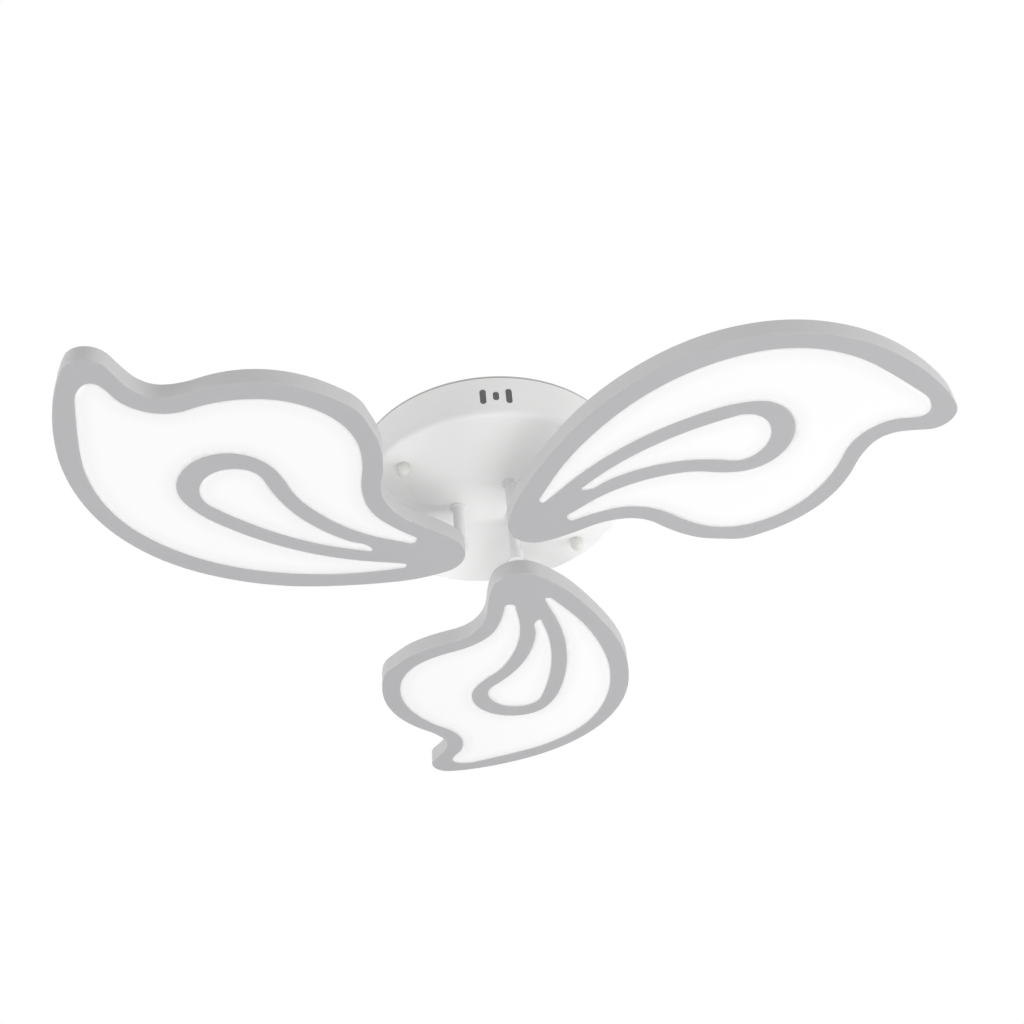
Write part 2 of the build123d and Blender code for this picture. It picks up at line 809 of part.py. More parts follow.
def make_petal_lead(index):
    """Lead from the stem's top, down its bore and the foot's channel, to the LED strip."""
    stem_x, stem_y = stem_place(index)
    plane = head_plane(index)
    hole_x = wire_hole_spot()[0]
    strip_ends = [face.center() for face in led_strip.faces() if abs(face.center().X - stack_start) < 0.01]
    landing = max(strip_ends, key=lambda spot: spot.Y)
    turn_level = (guide_top + lens_flange_top) / 2
    local = [(hole_x, 0, lead_level), (hole_x, 0, turn_level),
             (hole_x + lead_foot_run, landing.Y, turn_level), (stack_start, landing.Y, turn_level)]
    points = [plane.from_local_coords(Vector(*spot)) for spot in local]
    elbow = plane.from_local_coords(Vector(0, 0, lead_level))
    points = [Vector(stem_x, stem_y, stem_top), Vector(stem_x, stem_y, elbow.Z)] + points
    return wire(points, lead_radius, lead_foot_bend)


# Writing the pieces


def solids_of(shape):
    """List of the solids in a shape or in a group of shapes."""
    if isinstance(shape, list):
        return [solid for piece in shape for solid in piece.solids()]
    return list(shape.solids())


def save(name, shape, place=None):
    """Write one piece, or one group of like pieces, as a STEP file."""
    solids = solids_of(shape)
    if place is not None:
        solids = [place * solid for solid in solids]
    result = solids[0] if len(solids) == 1 else Compound(children=solids)
    result.label = name
    export_step(result, os.path.join("parts", name + ".step"))


os.makedirs("parts", exist_ok=True)

save("canopy_shell", make_canopy_shell())
save("ceiling_gasket", make_ceiling_gasket())
save("mounting_crossbar", make_mounting_crossbar())
save("mains_grommet", make_mains_grommet())
save("hanger_screws", make_hanger_screws())
save("hanger_nuts", make_hanger_nuts())
save("cap_nuts", make_cap_nuts())
save("stem_plate", make_stem_plate())
save("stem_washers", make_stem_washers())
save("led_driver", make_led_driver())
save("terminal_block", make_terminal_block())
save("stud_nuts", make_stud_nuts())
save("earth_tag", make_earth_tag())
save("driver_input_leads", make_driver_input_leads())
save("earth_lead", make_earth_lead())
save("driver_output_leads", make_driver_output_leads())

petal_frame = make_petal_frame()
petal_back = make_petal_back()
back_screws = make_back_screws()
foot_screws = make_foot_screws()
crescent_lens = make_crescent_lens()
drop_lens = make_drop_lens()
light_guide = make_light_guide()
reflector_sheet = make_reflector_sheet()
led_strip = make_led_strip()
led_chips = make_led_chips()

for index in range(head_count):
    number = str(index + 1)
    place = head_plane(index).location
    save("stem_" + number, make_stem(index))
    save("stem_nut_" + number, make_stem_nut(index))
    save("stem_foot_" + number, make_stem_foot(index))
    save("petal_lead_" + number, make_petal_lead(index))
    save("foot_screws_" + number, foot_screws, place)
    save("petal_frame_" + number, petal_frame, place)
    save("petal_back_" + number, petal_back, place)
    save("back_screws_" + number, back_screws, place)
    save("crescent_lens_" + number, crescent_lens, place)
    save("drop_lens_" + number, drop_lens, place)
    save("light_guide_" + number, light_guide, place)
    save("reflector_sheet_" + number, reflector_sheet, place)
    save("led_strip_" + number, led_strip, place)
    save("led_chips_" + number, led_chips, place)
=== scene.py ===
import math

import bmesh
import bpy
import numpy as np
from mathutils import Euler, Matrix, Vector
from mathutils.geometry import delaunay_2d_cdt


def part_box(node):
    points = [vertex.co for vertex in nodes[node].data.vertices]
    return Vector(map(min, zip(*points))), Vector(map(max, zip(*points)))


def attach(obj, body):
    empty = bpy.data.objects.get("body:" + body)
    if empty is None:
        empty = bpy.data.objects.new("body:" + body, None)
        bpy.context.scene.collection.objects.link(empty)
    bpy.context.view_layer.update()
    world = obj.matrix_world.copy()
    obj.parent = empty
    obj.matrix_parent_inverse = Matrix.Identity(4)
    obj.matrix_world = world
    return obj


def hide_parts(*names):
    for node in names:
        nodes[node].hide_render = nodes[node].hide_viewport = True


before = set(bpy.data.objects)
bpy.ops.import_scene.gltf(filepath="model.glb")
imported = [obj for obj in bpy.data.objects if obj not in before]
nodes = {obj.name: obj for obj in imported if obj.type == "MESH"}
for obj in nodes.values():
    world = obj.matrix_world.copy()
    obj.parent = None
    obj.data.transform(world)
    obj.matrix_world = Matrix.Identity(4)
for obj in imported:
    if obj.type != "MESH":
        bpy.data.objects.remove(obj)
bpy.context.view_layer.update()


# Camera and room
# The lens, place and turn come from the fit to the photograph. The chandelier hangs in front of
# a white surround, over a pale floor that fades into it, in even studio light.

CAMERA_PLACE = (-0.5402, -0.6286, -0.7026)
CAMERA_TURN = (128.613, 4.499, -38.0)
CAMERA_LENS = 50.406
CAMERA_SENSOR = 36.0
CAMERA_NEAR = 0.01
DISC_SIDES = 96
FLOOR_DROP = 2.4
FLOOR_RADIUS = 14.0
FLOOR_COLOR = (0.88, 0.88, 0.88, 1)
FLOOR_SEEN_NEAR = 0.66
FLOOR_FADE_START = 3.9
FLOOR_FADE_END = 11.0
SURROUND_LIGHT = 0.46
SURROUND_SEEN = 1.0
LAMP_AIM = (0, 0, -0.05)
LAMPS = (
    ("right_near_lamp", (1.05, -1.05, -0.6), 1.0, 10.0),
    ("right_far_lamp", (1.5, 0.9, -0.75), 1.2, 3.0),
    ("left_far_lamp", (-1.5, 0.9, -0.75), 1.2, 18.0),
    ("low_lamp", (0.1, -0.3, -1.7), 1.4, 10.0),
    ("top_lamp", (0, 0, 1.9), 1.6, 21.0),
    ("near_lamp", (-0.4, -1.8, 0.1), 1.2, 7.5),
)

camera_data = bpy.data.cameras.new("camera")
camera_data.lens = CAMERA_LENS
camera_data.sensor_width = CAMERA_SENSOR
camera_data.clip_start = CAMERA_NEAR
camera = bpy.data.objects.new("camera", camera_data)
bpy.context.scene.collection.objects.link(camera)
camera.location = CAMERA_PLACE
camera.rotation_euler = Euler([math.radians(angle) for angle in CAMERA_TURN])
bpy.context.scene.camera = camera
bpy.context.scene.view_settings.view_transform = "Standard"


def new_material(name):
    """Empty node material with its tree and output."""
    material = bpy.data.materials.new(name)
    material.use_nodes = True
    tree = material.node_tree
    tree.nodes.clear()
    return material, tree, tree.nodes.new("ShaderNodeOutputMaterial")


def add(tree, kind, **inputs):
    """New node with some inputs set. An underscore in an input's name stands for a space."""
    node = tree.nodes.new(kind)
    for name, value in inputs.items():
        node.inputs[name.replace("_", " ")].default_value = value
    return node


def math_node(tree, operation, first, second):
    """Result socket of one operation on two sockets or numbers."""
    node = tree.nodes.new("ShaderNodeMath")
    node.operation = operation
    for socket, value in zip(node.inputs, (first, second)):
        if isinstance(value, (int, float)):
            socket.default_value = value
        else:
            tree.links.new(value, socket)
    return node.outputs[0]


def level_disc(name, radius, height, material):
    """Flat level disc at a height, round the object's own upright axis."""
    mesh = bpy.data.meshes.new(name)
    shape = bmesh.new()
    bmesh.ops.create_circle(shape, cap_ends=True, segments=DISC_SIDES, radius=radius)
    bmesh.ops.translate(shape, verts=shape.verts, vec=(0, 0, height))
    shape.to_mesh(mesh)
    shape.free()
    mesh.materials.append(material)
    disc = bpy.data.objects.new(name, mesh)
    bpy.context.scene.collection.objects.link(disc)
    return disc


world = bpy.data.worlds.new("surround")
bpy.context.scene.world = world
world.use_nodes = True
tree = world.node_tree
tree.nodes.clear()
output = tree.nodes.new("ShaderNodeOutputWorld")
light = add(tree, "ShaderNodeBackground", Color=(1, 1, 1, 1), Strength=SURROUND_LIGHT)
seen = add(tree, "ShaderNodeBackground", Color=(1, 1, 1, 1), Strength=SURROUND_SEEN)
path = tree.nodes.new("ShaderNodeLightPath")
plain_ray = math_node(tree, "MAXIMUM", path.outputs["Is Camera Ray"], path.outputs["Is Glossy Ray"])
seen_ray = math_node(tree, "MAXIMUM", plain_ray, path.outputs["Is Transmission Ray"])
mix = tree.nodes.new("ShaderNodeMixShader")
tree.links.new(seen_ray, mix.inputs["Fac"])
tree.links.new(light.outputs[0], mix.inputs[1])
tree.links.new(seen.outputs[0], mix.inputs[2])
tree.links.new(mix.outputs[0], output.inputs["Surface"])

pale_floor, tree, output = new_material("pale_floor")
shader = add(tree, "ShaderNodeBsdfDiffuse", Color=FLOOR_COLOR)
plain = tree.nodes.new("ShaderNodeEmission")
place = tree.nodes.new("ShaderNodeTexCoord")
reach = tree.nodes.new("ShaderNodeVectorMath")
reach.operation = "LENGTH"
fade = add(tree, "ShaderNodeMapRange", From_Min=FLOOR_FADE_START, From_Max=FLOOR_FADE_END,
           To_Min=FLOOR_SEEN_NEAR, To_Max=SURROUND_SEEN)
fade.interpolation_type = "SMOOTHSTEP"
path = tree.nodes.new("ShaderNodeLightPath")
mix = tree.nodes.new("ShaderNodeMixShader")
tree.links.new(place.outputs["Object"], reach.inputs[0])
tree.links.new(reach.outputs["Value"], fade.inputs["Value"])
tree.links.new(fade.outputs["Result"], plain.inputs["Strength"])
tree.links.new(path.outputs["Is Camera Ray"], mix.inputs["Fac"])
tree.links.new(shader.outputs[0], mix.inputs[1])
tree.links.new(plain.outputs[0], mix.inputs[2])
tree.links.new(mix.outputs[0], output.inputs["Surface"])
floor = level_disc("floor", FLOOR_RADIUS, -FLOOR_DROP, pale_floor)


def soft_lamp(name, place, size, power):
    """Large soft square lamp at a place, aimed at the chandelier's middle."""
    data = bpy.data.lights.new(name, "AREA")
    data.size = size
    data.energy = power
    lamp = bpy.data.objects.new(name, data)
    lamp.location = place
    lamp.rotation_euler = (Vector(LAMP_AIM) - Vector(place)).to_track_quat("-Z", "Y").to_euler()
    bpy.context.scene.collection.objects.link(lamp)


for lamp in LAMPS:
    soft_lamp(*lamp)


# Ceiling patch over the canopy
# The real ceiling keeps the canopy's inside dark. This patch is painted shade for that darkness,
# shown through the vents only: seen from above it lets everything pass, and it holds back no light.

PATCH_RADIUS = 0.0985
PATCH_LIFT = 0.0003
PATCH_SHADE_COLOR = (0.24, 0.24, 0.24, 1)

painted_shade_ceiling, tree, output = new_material("painted_shade_ceiling")
# Painted shade: a dark grey that stands for the ceiling in the canopy's shade, seen by the camera only.
shader = add(tree, "ShaderNodeBsdfDiffuse", Color=PATCH_SHADE_COLOR)
clear_way = tree.nodes.new("ShaderNodeBsdfTransparent")
path = tree.nodes.new("ShaderNodeLightPath")
side = tree.nodes.new("ShaderNodeNewGeometry")
front = math_node(tree, "SUBTRACT", 1.0, side.outputs["Backfacing"])
shown = math_node(tree, "MULTIPLY", path.outputs["Is Camera Ray"], front)
mix = tree.nodes.new("ShaderNodeMixShader")
tree.links.new(shown, mix.inputs["Fac"])
tree.links.new(clear_way.outputs[0], mix.inputs[1])
tree.links.new(shader.outputs[0], mix.inputs[2])
tree.links.new(mix.outputs[0], output.inputs["Surface"])
patch = level_disc("ceiling_patch", PATCH_RADIUS, PATCH_LIFT, painted_shade_ceiling)
if patch.data.polygons[0].normal.z > 0:
    patch.data.flip_normals()


# Canopy shell
# Spun steel cup with four studs welded inside, powder coated matt white. Two ball nuts hold it
# up, and its side has two vent slots with a short hole between them.

CANOPY_COLOR = (0.90, 0.90, 0.895)
CANOPY_ROUGHNESS = 0.46
EVEN = (1, 1, 1)
GLOSS_SPAN = (0.25, 0.75)
RELIEF_STRENGTH = 0.6
CLOUD_SIZE = 0.09
CLOUD_SHADE = 0.975
PEEL_SCALE = 1400.0
PEEL_DEPTH = 0.00004


def color_ramp(tree, *stops):
    """Colour ramp from (position, colour) pairs."""
    node = tree.nodes.new("ShaderNodeValToRGB")
    points = node.color_ramp.elements
    while len(points) < len(stops):
        points.new(0.5)
    for point, (position, color) in zip(points, stops):
        point.position = position
        point.color = (*color[:3], 1)
    return node


def shaded(color, share):
    """A colour made darker or lighter by a share."""
    return tuple(min(1.0, value * share) for value in color)


def finish(name, pattern, grain, colors, rough, grain_depth, metal=0.0, **inputs):
    """Material whose colour and gloss follow one pattern, with a second one as its fine relief.

    Pattern and grain are (node kind, scale, stretch, output name)."""
    material, tree, output = new_material(name)
    shader = add(tree, "ShaderNodeBsdfPrincipled", Metallic=metal, **inputs)
    place = tree.nodes.new("ShaderNodeTexCoord")
    values = []
    for kind, scale, stretch, result in (pattern, grain):
        turned = add(tree, "ShaderNodeMapping", Scale=stretch)
        texture = add(tree, kind, Scale=scale)
        tree.links.new(place.outputs["Object"], turned.inputs["Vector"])
        tree.links.new(turned.outputs["Vector"], texture.inputs["Vector"])
        values.append(texture.outputs[result])
    tint = color_ramp(tree, *colors)
    gloss = add(tree, "ShaderNodeMapRange", From_Min=GLOSS_SPAN[0], From_Max=GLOSS_SPAN[1],
                To_Min=rough[0], To_Max=rough[1])
    relief = add(tree, "ShaderNodeBump", Distance=grain_depth, Strength=RELIEF_STRENGTH)
    tree.links.new(values[0], tint.inputs["Fac"])
    tree.links.new(tint.outputs["Color"], shader.inputs["Base Color"])
    tree.links.new(values[0], gloss.inputs["Value"])
    tree.links.new(gloss.outputs["Result"], shader.inputs["Roughness"])
    tree.links.new(values[1], relief.inputs["Height"])
    tree.links.new(relief.outputs["Normal"], shader.inputs["Normal"])
    tree.links.new(shader.outputs[0], output.inputs["Surface"])
    return material


def powder_coat(name, color, roughness, cloud_size=CLOUD_SIZE):
    """Matt powder coat: faint clouds of thickness and a fine orange peel."""
    return finish(
        name, ("ShaderNodeTexNoise", 1 / cloud_size, EVEN, "Fac"),
        ("ShaderNodeTexNoise", PEEL_SCALE, EVEN, "Fac"),
        [(0.3, shaded(color, CLOUD_SHADE)), (0.7, color)],
        (roughness - 0.03, roughness + 0.05), PEEL_DEPTH)


def refinish(name, *materials):
    """Gives a CAD node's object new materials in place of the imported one."""
    slots = nodes[name].data.materials
    slots.clear()
    for material in materials:
        slots.append(material)


refinish("canopy_shell", powder_coat("canopy_powder_coat", CANOPY_COLOR, CANOPY_ROUGHNESS))


# Ceiling gasket
# Ring of closed-cell foam glued to the rim, pale grey, with fine pores painted darker as painted shade.

FOAM_COLOR = (0.52, 0.52, 0.51)
FOAM_ROUGHNESS = (0.85, 0.95)
PORE_SCALE = 900.0
PORE_SHADE = 0.7
PORE_EDGE = 0.35
PORE_DEPTH = 0.0003

pores = ("ShaderNodeTexVoronoi", PORE_SCALE, EVEN, "Distance")
# Painted shade: each pore is a darker spot that stands for the shade inside it.
refinish("ceiling_gasket", finish(
    "closed_cell_foam", pores, pores,
    [(0.0, shaded(FOAM_COLOR, PORE_SHADE)), (PORE_EDGE, FOAM_COLOR)], FOAM_ROUGHNESS, PORE_DEPTH))


# Crossbar and stiffening disc
# Pressed from zinc-plated steel strip: a faint bluish spangle and fine rolling marks.

ZINC_COLOR = (0.50, 0.51, 0.53)
STRAP_ROUGHNESS = 0.34
DISC_ROUGHNESS = 0.46
SPANGLE_SCALE = 110.0
SPANGLE_DARK = 0.86
SPANGLE_LIGHT = 1.1
ROLLING_SCALE = 300.0
ROLLING_DEPTH = 0.00003
ROLLED_ALONG_X = (0.05, 1, 1)
ROLLED_ALONG_Y = (1, 0.05, 1)


def plated_metal(name, color, roughness, rolling):
    """Plated or bare metal: crystal patches, fine marks along one axis, slight haze."""
    return finish(
        name, ("ShaderNodeTexVoronoi", SPANGLE_SCALE, EVEN, "Color"),
        ("ShaderNodeTexNoise", ROLLING_SCALE, rolling, "Fac"),
        [(0.0, shaded(color, SPANGLE_DARK)), (1.0, shaded(color, SPANGLE_LIGHT))],
        (roughness - 0.06, roughness + 0.1), ROLLING_DEPTH, metal=1.0)


refinish("mounting_crossbar", plated_metal("strap_zinc", ZINC_COLOR, STRAP_ROUGHNESS, ROLLED_ALONG_X))
refinish("stem_plate", plated_metal("disc_zinc", ZINC_COLOR, DISC_ROUGHNESS, ROLLED_ALONG_Y))


# Mains grommet
# Moulded black rubber with a faint bloom, pressed into the crossbar.

RUBBER_COLOR = (0.022, 0.022, 0.023)
RUBBER_ROUGHNESS = (0.55, 0.7)
BLOOM_SCALE = 160.0
BLOOM_SHADE = 2.2
RUBBER_GRAIN = 900.0
RUBBER_DEPTH = 0.00008

refinish("mains_grommet", finish(
    "black_rubber", ("ShaderNodeTexNoise", BLOOM_SCALE, EVEN, "Fac"),
    ("ShaderNodeTexNoise", RUBBER_GRAIN, EVEN, "Fac"),
    [(0.35, RUBBER_COLOR), (0.8, shaded(RUBBER_COLOR, BLOOM_SHADE))], RUBBER_ROUGHNESS, RUBBER_DEPTH))


# Screws
# Cold-headed steel, bright zinc plated: pan heads with a cross recess. Two long ones hang the
# canopy from the crossbar, and nine short ones hold each leaf's back plate.

HEADS = (1, 2, 3)
HARDWARE_COLOR = (0.62, 0.62, 0.60)
HARDWARE_ROUGHNESS = 0.26
DRAWN_ALONG_Z = (1, 1, 0.1)
HANGER_SIZES = {
    "Head Radius": 0.0039, "Head Height": 0.0023, "Crown": 0.0007,
    "Recess Length": 0.0044, "Recess Width": 0.0009, "Recess Depth": 0.0013,
    "Shank Radius": 0.0019, "Shank Length": 0.0382}
HANGER_SEAT = -0.003
BACK_SIZES = {
    "Head Radius": 0.00195, "Head Height": 0.00098, "Crown": 0.00035,
    "Recess Length": 0.0021, "Recess Width": 0.00045, "Recess Depth": 0.0006,
    "Shank Radius": 0.00092, "Shank Length": 0.0068}
BACK_SEAT = 0.012
HEAD_SIDES = 32
HEAD_RINGS = 4
SHANK_SIDES = 24
TURN_SEED = 4
SHARP_ANGLE = math.radians(32)
MERGE_GAP = 1e-7

bright_zinc = plated_metal("bright_zinc", HARDWARE_COLOR, HARDWARE_ROUGHNESS, DRAWN_ALONG_Z)


def geometry_tree(name, sizes):
    """New geometry tree: points, named sizes and a finish go in, and a mesh comes out."""
    tree = bpy.data.node_groups.new(name, "GeometryNodeTree")
    tree.interface.new_socket("Points", in_out="INPUT", socket_type="NodeSocketGeometry")
    for size in sizes:
        tree.interface.new_socket(size, in_out="INPUT", socket_type="NodeSocketFloat")
    tree.interface.new_socket("Finish", in_out="INPUT", socket_type="NodeSocketMaterial")
    tree.interface.new_socket("Mesh", in_out="OUTPUT", socket_type="NodeSocketGeometry")
    return tree, tree.nodes.new("NodeGroupInput"), tree.nodes.new("NodeGroupOutput")


def joined(tree, kind, links):
    """New node of a geometry tree with some inputs linked or set."""
    node = tree.nodes.new(kind)
    for name, value in links.items():
        if isinstance(value, bpy.types.NodeSocket):
            tree.links.new(value, node.inputs[name])
        else:
            node.inputs[name].default_value = value
    return node


def along_z(tree, height):
    """Vector socket that points up by a height socket."""
    return joined(tree, "ShaderNodeCombineXYZ", {"Z": height}).outputs[0]


def cylinder(tree, radius, depth, middle, sides, rings=1):
    """Upright cylinder of a geometry tree, with its middle at a height socket."""
    solid = joined(tree, "GeometryNodeMeshCylinder", {"Vertices": sides, "Fill Segments": rings,
                                                      "Radius": radius, "Depth": depth})
    return joined(tree, "GeometryNodeTransform", {"Geometry": solid.outputs["Mesh"],
                                                  "Translation": along_z(tree, middle)}).outputs[0]


def combined(tree, operation, first, *others):
    """Exact union, difference or intersection of meshes in a geometry tree."""
    node = tree.nodes.new("GeometryNodeMeshBoolean")
    node.operation = operation
    node.solver = "EXACT"
    if operation == "DIFFERENCE":
        tree.links.new(first, node.inputs["Mesh 1"])
    else:
        tree.links.new(first, node.inputs["Mesh 2"])
    for other in others:
        tree.links.new(other, node.inputs["Mesh 2"])
    return node.outputs["Mesh"]


def placed_on_points(tree, start, end, solid, seed):
    """Ends a geometry tree: the solid on each point, turned at random about its axis."""
    turn = joined(tree, "FunctionNodeRandomValue", {"Seed": seed})
    turn.inputs[3].default_value = math.tau
    copies = joined(tree, "GeometryNodeInstanceOnPoints", {
        "Points": start.outputs["Points"], "Instance": solid,
        "Rotation": along_z(tree, turn.outputs[1])})
    real = joined(tree, "GeometryNodeRealizeInstances", {"Geometry": copies.outputs[0]})
    painted = joined(tree, "GeometryNodeSetMaterial", {
        "Geometry": real.outputs[0], "Material": start.outputs["Finish"]})
    tree.links.new(painted.outputs[0], end.inputs["Mesh"])


screw_tree, start, end = geometry_tree("pan_head_screw", HANGER_SIZES)
size = start.outputs
half_head = math_node(screw_tree, "MULTIPLY", size["Head Height"], 0.5)
disc = cylinder(screw_tree, size["Head Radius"], size["Head Height"], half_head, HEAD_SIDES, HEAD_RINGS)
spot = joined(screw_tree, "ShaderNodeSeparateXYZ", {
    "Vector": screw_tree.nodes.new("GeometryNodeInputPosition").outputs[0]})
square_x = math_node(screw_tree, "POWER", spot.outputs["X"], 2.0)
square_y = math_node(screw_tree, "POWER", spot.outputs["Y"], 2.0)
across = math_node(screw_tree, "ADD", square_x, square_y)
full_square = math_node(screw_tree, "POWER", size["Head Radius"], 2.0)
share = math_node(screw_tree, "DIVIDE", across, full_square)
crown = math_node(screw_tree, "MULTIPLY", share, size["Crown"])
fall = math_node(screw_tree, "MULTIPLY", crown, -1.0)
upper = math_node(screw_tree, "GREATER_THAN", spot.outputs["Z"], half_head)
drop = along_z(screw_tree, math_node(screw_tree, "MULTIPLY", fall, upper))
domed = joined(screw_tree, "GeometryNodeSetPosition", {"Geometry": disc, "Offset": drop}).outputs[0]
arms = []
arm_height = math_node(screw_tree, "MULTIPLY", size["Recess Depth"], 2.0)
for length, width in (("Recess Length", "Recess Width"), ("Recess Width", "Recess Length")):
    edges = joined(screw_tree, "ShaderNodeCombineXYZ", {
        "X": size[length], "Y": size[width], "Z": arm_height})
    block = joined(screw_tree, "GeometryNodeMeshCube", {"Size": edges.outputs[0]})
    lift = along_z(screw_tree, size["Head Height"])
    raised = joined(screw_tree, "GeometryNodeTransform", {
        "Geometry": block.outputs["Mesh"], "Translation": lift})
    arms.append(raised.outputs[0])
shank_depth = math_node(screw_tree, "ADD", size["Shank Length"], half_head)
half_shank = math_node(screw_tree, "MULTIPLY", shank_depth, 0.5)
shank_middle = math_node(screw_tree, "SUBTRACT", half_head, half_shank)
shank = cylinder(screw_tree, size["Shank Radius"], shank_depth, shank_middle, SHANK_SIDES)
solid = combined(screw_tree, "DIFFERENCE", combined(screw_tree, "UNION", domed, shank), *arms)
placed_on_points(screw_tree, start, end, solid, TURN_SEED)


def grow(name, tree, points, sizes, material, place=None):
    """Plain mesh object of what a geometry tree makes on points, moved to its place."""
    seeds = bpy.data.meshes.new(name + "_points")
    seeds.from_pydata(points, [], [])
    carrier = bpy.data.objects.new(name + "_carrier", seeds)
    bpy.context.scene.collection.objects.link(carrier)
    modifier = carrier.modifiers.new("tree", "NODES")
    modifier.node_group = tree
    values = {**sizes, "Finish": material}
    for item in tree.interface.items_tree:
        if item.in_out == "INPUT" and item.name in values:
            modifier[item.identifier] = values[item.name]
    bpy.context.view_layer.update()
    whole = carrier.evaluated_get(bpy.context.evaluated_depsgraph_get())
    mesh = bpy.data.meshes.new_from_object(whole)
    carrier.modifiers.clear()
    bpy.data.objects.remove(carrier)
    if place is not None:
        mesh.transform(place)
    return mesh_piece(name, mesh)


def mesh_piece(name, mesh):
    """Object of a finished mesh, smooth except at its sharp edges."""
    mesh.name = name
    mesh.shade_smooth()
    mesh.set_sharp_from_angle(angle=SHARP_ANGLE)
    piece = bpy.data.objects.new(name, mesh)
    bpy.context.scene.collection.objects.link(piece)
    return piece


def merged_copy(name):
    """Merged copy of a CAD node's loose triangles."""
    shape = bmesh.new()
    shape.from_mesh(nodes[name].data)
    bmesh.ops.remove_doubles(shape, verts=shape.verts, dist=MERGE_GAP)
    return shape


def islands(shape):
    """Vertices of each separate solid in a merged copy, ordered from left to right."""
    left = set(shape.verts)
    groups = []
    while left:
        reached = [left.pop()]
        group = []
        while reached:
            vert = reached.pop()
            group.append(vert)
            for edge in vert.link_edges:
                other = edge.other_vert(vert)
                if other in left:
                    left.remove(other)
                    reached.append(other)
        groups.append(group)
    return sorted(groups, key=lambda group: tuple(round(value, 5) for value in group_box(group)[0]))


def group_box(group):
    """Lowest and highest corner of some vertices."""
    spots = np.array([vert.co for vert in group])
    return spots.min(axis=0), spots.max(axis=0)


def seats(name, level=None, plane=None):
    """A point under each solid of a CAD node, or at a level, in the plane's frame if one is given."""
    shape = merged_copy(name)
    if plane is not None:
        shape.transform(plane.inverted())
    points = []
    for group in islands(shape):
        low, high = group_box(group)
        height = low[2] if level is None else level
        points.append(((low[0] + high[0]) / 2, (low[1] + high[1]) / 2, height))
    shape.free()
    return points


def stand_in(piece, node, body):
    """Hides one CAD node and attaches the piece that stands for it to one body."""
    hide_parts(node)
    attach(piece, body)


LEAF_FIRST_ANGLE = 57.0
STEM_LAG = 37.3
STEM_CIRCLE = 0.0264
LEAF_DROP = 0.0846
LEAF_RISE = 1.66
LEAF_LEAN = 0.66


def leaf_plane(head):
    """Frame of a leaf's lit face: x outwards, z upwards, the stem's axis in the middle."""
    angle = math.radians(LEAF_FIRST_ANGLE + (head - 1) * 120)
    outwards = Vector((math.cos(angle), math.sin(angle), 0))
    sideways = Vector((-math.sin(angle), math.cos(angle), 0))
    up = Vector((0, 0, 1)) - outwards * math.tan(math.radians(LEAF_RISE))
    up = (up - sideways * math.tan(math.radians(LEAF_LEAN))).normalized()
    first = (outwards - up * outwards.dot(up)).normalized()
    second = up.cross(first)
    stem_angle = angle - math.radians(STEM_LAG)
    middle = (STEM_CIRCLE * math.cos(stem_angle), STEM_CIRCLE * math.sin(stem_angle), -LEAF_DROP)
    plane = Matrix((first, second, up)).transposed().to_4x4()
    plane.translation = middle
    return plane


hanger_spots = seats("hanger_screws", HANGER_SEAT)
hangers = grow("hanger_screws_pan_head", screw_tree, hanger_spots, HANGER_SIZES, bright_zinc)
stand_in(hangers, "hanger_screws", "canopy")
for head in HEADS:
    plane = leaf_plane(head)
    spots = seats(f"back_screws_{head}", BACK_SEAT, plane)
    screws = grow(f"back_screws_pan_head_{head}", screw_tree, spots, BACK_SIZES, bright_zinc, plane)
    stand_in(screws, f"back_screws_{head}", f"light_head_{head}")
    refinish(f"foot_screws_{head}", bright_zinc)


# Nuts and washers
# Pressed hexagon nuts with chamfered corners, zinc plated: under the crossbar, on the welded
# studs, and on each stem over its washer.

NUT_SIDES = 6
CONE_SIDES = 72
BORE_SIDES = 32
CHAMFER_SLOPE = math.tan(math.radians(60))
CHAMFER_SHARE = 0.475
NUT_CLEAR = 0.00004
NUT_SIZES = ("Across", "Height", "Bore Radius", "Chamfer Start")
HANGER_NUT = (0.007, 0.0032, 0.002)
STUD_NUT = (0.0055, 0.0024, 0.0015)
STEM_NUT = (0.013, 0.005, 0.004)

nut_tree, start, end = geometry_tree("hexagon_nut", NUT_SIZES)
size = start.outputs
half_nut = math_node(nut_tree, "MULTIPLY", size["Height"], 0.5)
corner_radius = math_node(nut_tree, "DIVIDE", size["Across"], math.sqrt(3))
prism = cylinder(nut_tree, corner_radius, size["Height"], half_nut, NUT_SIDES)
spread = math_node(nut_tree, "MULTIPLY", size["Height"], CHAMFER_SLOPE)
widest = math_node(nut_tree, "ADD", size["Chamfer Start"], spread)
cone = joined(nut_tree, "GeometryNodeMeshCone", {
    "Vertices": CONE_SIDES, "Radius Top": size["Chamfer Start"], "Radius Bottom": widest,
    "Depth": size["Height"]})
cut = combined(nut_tree, "INTERSECT", prism, cone.outputs["Mesh"])
bore_depth = math_node(nut_tree, "MULTIPLY", size["Height"], 3.0)
bore = cylinder(nut_tree, size["Bore Radius"], bore_depth, half_nut, BORE_SIDES)
placed_on_points(nut_tree, start, end, combined(nut_tree, "DIFFERENCE", cut, bore), TURN_SEED)


def make_nuts(node, nut, body):
    """Chamfered nuts in place of one CAD node's plain ones: a nut is (across, height, thread)."""
    across, height, thread = nut
    sizes = dict(zip(NUT_SIZES, (across, height, thread + NUT_CLEAR, across * CHAMFER_SHARE)))
    nuts = grow(node + "_chamfered", nut_tree, seats(node), sizes, bright_zinc)
    stand_in(nuts, node, body)


make_nuts("hanger_nuts", HANGER_NUT, "canopy")
make_nuts("stud_nuts", STUD_NUT, "canopy")
for head in HEADS:
    make_nuts(f"stem_nut_{head}", STEM_NUT, f"light_head_{head}")
refinish("stem_washers", bright_zinc)


# Cap nuts
# Turned brass, nickel plated and satin: a small ball on a hexagon, outside the canopy.

CAP_NUT_COLOR = (0.74, 0.75, 0.71)
CAP_NUT_ROUGHNESS = 0.32
CAP_NUT_CLOUDS = 0.02

